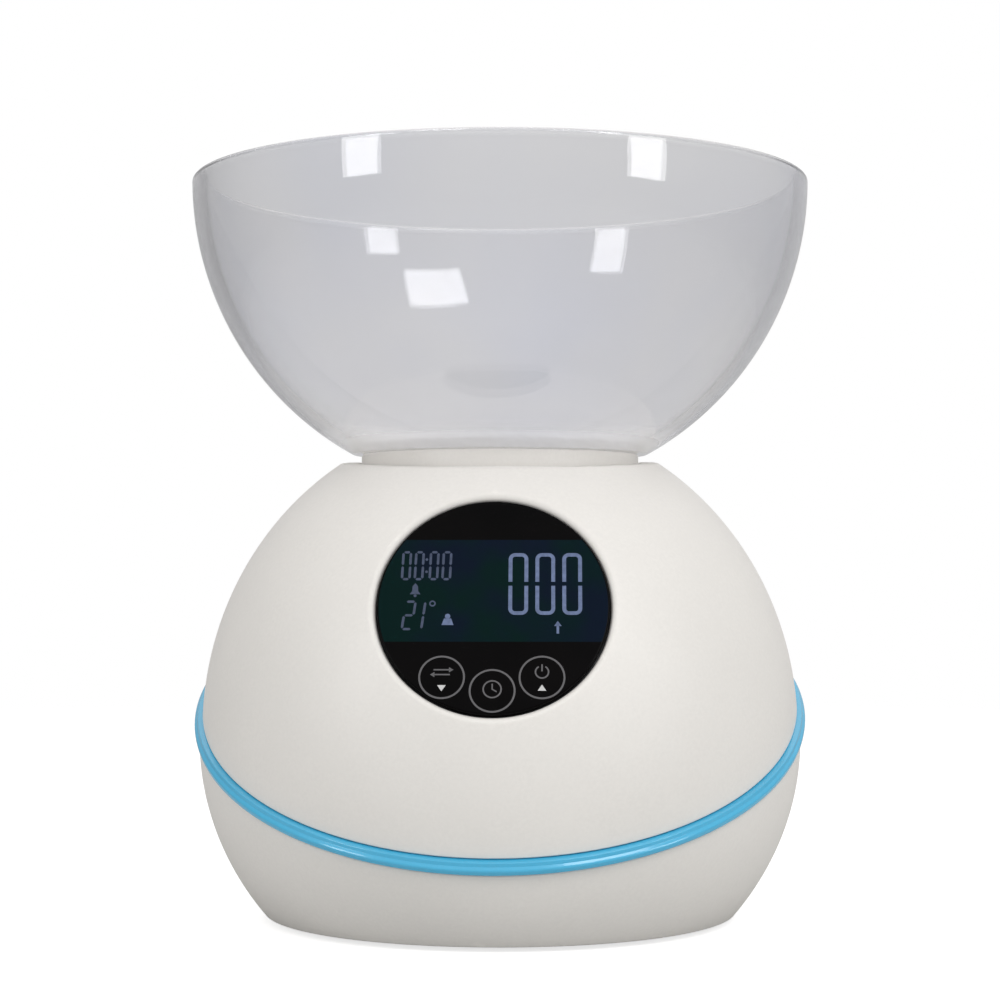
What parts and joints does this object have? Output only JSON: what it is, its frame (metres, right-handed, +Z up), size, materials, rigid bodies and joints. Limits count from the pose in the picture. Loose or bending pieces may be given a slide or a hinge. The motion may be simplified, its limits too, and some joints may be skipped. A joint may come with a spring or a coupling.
{
  "type": "kitchen scale",
  "caption": "Round kitchen scale: white dome casing with a tilted blue ring and a round black display, and a clear bowl on a small weighing platform.",
  "frame": {"origin": "on the table under the middle of the scale", "axes": "+Z up through the middle of the bowl, -Y towards the display"},
  "size_m": [0.2024, 0.2024, 0.2405],
  "materials": {
    "shell_plastic": "satin moulded white",
    "ring_plastic": "glossy sky blue",
    "clear_plastic": "clear, polished",
    "lens_black": "glossy black window",
    "inner_plastic": "moulded black",
    "inner_plastic_white": "moulded off-white",
    "lcd_glass": "dark liquid crystal panel",
    "diffuser_plastic": "white light guide",
    "silicone": "soft white silicone",
    "conductive_foam": "conductive foam",
    "board_laminate": "green solder mask",
    "chip_epoxy": "moulded epoxy",
    "cell_aluminium": "milled",
    "cell_steel": "brushed",
    "contact_steel": "nickel plated",
    "screw_steel": "zinc plated",
    "lead_insulation": "soft insulation",
    "foot_rubber": "matt grey rubber"
  },
  "bodies": {
    "base": {"lower_shell": "shell_plastic", "upper_shell": "shell_plastic", "accent_ring": "ring_plastic", "foot_front_left": "foot_rubber", "foot_front_right": "foot_rubber", "foot_rear_left": "foot_rubber", "foot_rear_right": "foot_rubber", "case_screw_1": "screw_steel", "case_screw_2": "screw_steel", "case_screw_3": "screw_steel", "case_screw_4": "screw_steel", "display_lens": "lens_black", "display_carrier": "inner_plastic", "lcd_panel": "lcd_glass", "backlight": "diffuser_plastic", "zebra_strip_upper": "silicone", "zebra_strip_lower": "silicone", "touch_contact_left": "conductive_foam", "touch_contact_middle": "conductive_foam", "touch_contact_right": "conductive_foam", "control_board": "board_laminate", "board_screw_1": "screw_steel", "board_screw_2": "screw_steel", "board_screw_3": "screw_steel", "controller_chip": "chip_epoxy", "buzzer": "inner_plastic", "temperature_sensor": "chip_epoxy", "load_cell": "cell_aluminium", "load_cell_mount": "inner_plastic", "strain_gauge_cover_front": "silicone", "strain_gauge_cover_rear": "silicone", "cell_screw_1": "screw_steel", "cell_screw_2": "screw_steel", "overload_stop": "screw_steel", "coin_cell": "cell_steel", "contact_negative": "contact_steel", "contact_positive": "contact_steel", "battery_lead": "lead_insulation", "load_cell_lead": "lead_insulation"},
    "battery_door": {"battery_door": "shell_plastic"},
    "weighing_platform": {"platform": "shell_plastic", "platform_column": "inner_plastic_white", "load_arm": "cell_steel", "arm_screw_1": "screw_steel", "arm_screw_2": "screw_steel", "platform_screw_1": "screw_steel", "platform_screw_2": "screw_steel", "platform_screw_3": "screw_steel"},
    "bowl": {"bowl": "clear_plastic"}
  },
  "joints": [
    {"name": "platform_press", "type": "slide", "parent": "base", "child": "weighing_platform", "axis": [0, 0, -1], "range_m": [0, 0.0004], "stiffness_N_per_m": 80000},
    {"name": "bowl_lift", "type": "slide", "parent": "weighing_platform", "child": "bowl", "axis": [0, 0, 1], "range_m": [0, 0.12]},
    {"name": "battery_door_turn", "type": "hinge", "parent": "base", "child": "battery_door", "pos_m": [0, 0.042, 0.0017], "axis": [0, 0, 1], "range_deg": [0, 30]}
  ]
}
